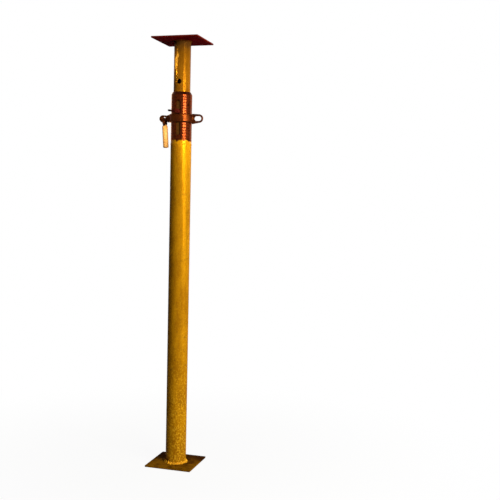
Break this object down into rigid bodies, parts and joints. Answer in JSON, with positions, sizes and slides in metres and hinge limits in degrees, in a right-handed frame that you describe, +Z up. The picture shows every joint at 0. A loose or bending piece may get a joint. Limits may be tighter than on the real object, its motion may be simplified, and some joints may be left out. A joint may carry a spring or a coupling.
{
  "type": "adjustable steel prop",
  "caption": "Telescopic steel shoring prop with square base and head plates, a slotted threaded sleeve, a cross pin and a handled adjusting nut.",
  "frame": {"origin": "middle of the underside of the base plate", "axes": "+Z up along the tubes, X along the nut's lug and eye with the handle at -X, Y along the cross pin with its tail at -Y; the plates' sides lie along X and Y"},
  "size_m": [0.14, 0.14, 1.24],
  "materials": {
    "gold_plate": "yellow zinc plate, dull and scuffed",
    "gold_tube": "yellow zinc plate, satin, with faint drawing marks",
    "gold_inner": "yellow zinc plate, satin, with zinc runs",
    "gold_handle": "yellow zinc plate, brighter on the round bar",
    "weld_metal": "plated weld bead, rippled and bright",
    "red_thread": "red oxide paint over rolled thread, oiled",
    "red_plate": "red oxide paint, matt",
    "red_cast": "red oxide paint on a rough casting",
    "dark_pin": "dark red paint, worn at the ends"
  },
  "bodies": {
    "lower_prop": {"base_plate": "gold_plate", "base_weld": "weld_metal", "outer_tube": "gold_tube", "threaded_sleeve": "red_thread", "sleeve_weld": "weld_metal"},
    "upper_prop": {"inner_tube": "gold_inner", "head_plate": "red_plate", "head_weld": "weld_metal"},
    "nut": {"adjusting_nut": "red_cast"},
    "handle": {"handle_ring": "red_cast", "handle_bar": "gold_handle"},
    "pin": {"prop_pin": "dark_pin", "pin_tail": "dark_pin"}
  },
  "joints": [
    {"name": "screw_travel", "type": "slide", "parent": "lower_prop", "child": "upper_prop", "axis": [0, 0, 1], "range_m": [-0.06, 0.025]},
    {"name": "nut_turn", "type": "hinge", "parent": "upper_prop", "child": "nut", "pos_m": [0, 0, 1.015], "axis": [0, 0, 1], "range_deg": [-2700, 1125]},
    {"name": "handle_swing", "type": "hinge", "parent": "nut", "child": "handle", "pos_m": [-0.0525, 0, 1.015], "axis": [0, 1, 0], "range_deg": [-5, 165]},
    {"name": "pin_pull", "type": "slide", "parent": "upper_prop", "child": "pin", "axis": [0, -1, 0], "range_m": [0, 0.075]}
  ],
  "couplings": [
    {"joint": "screw_travel", "follows": "nut_turn", "m_per_rad": 0.0012732}
  ]
}
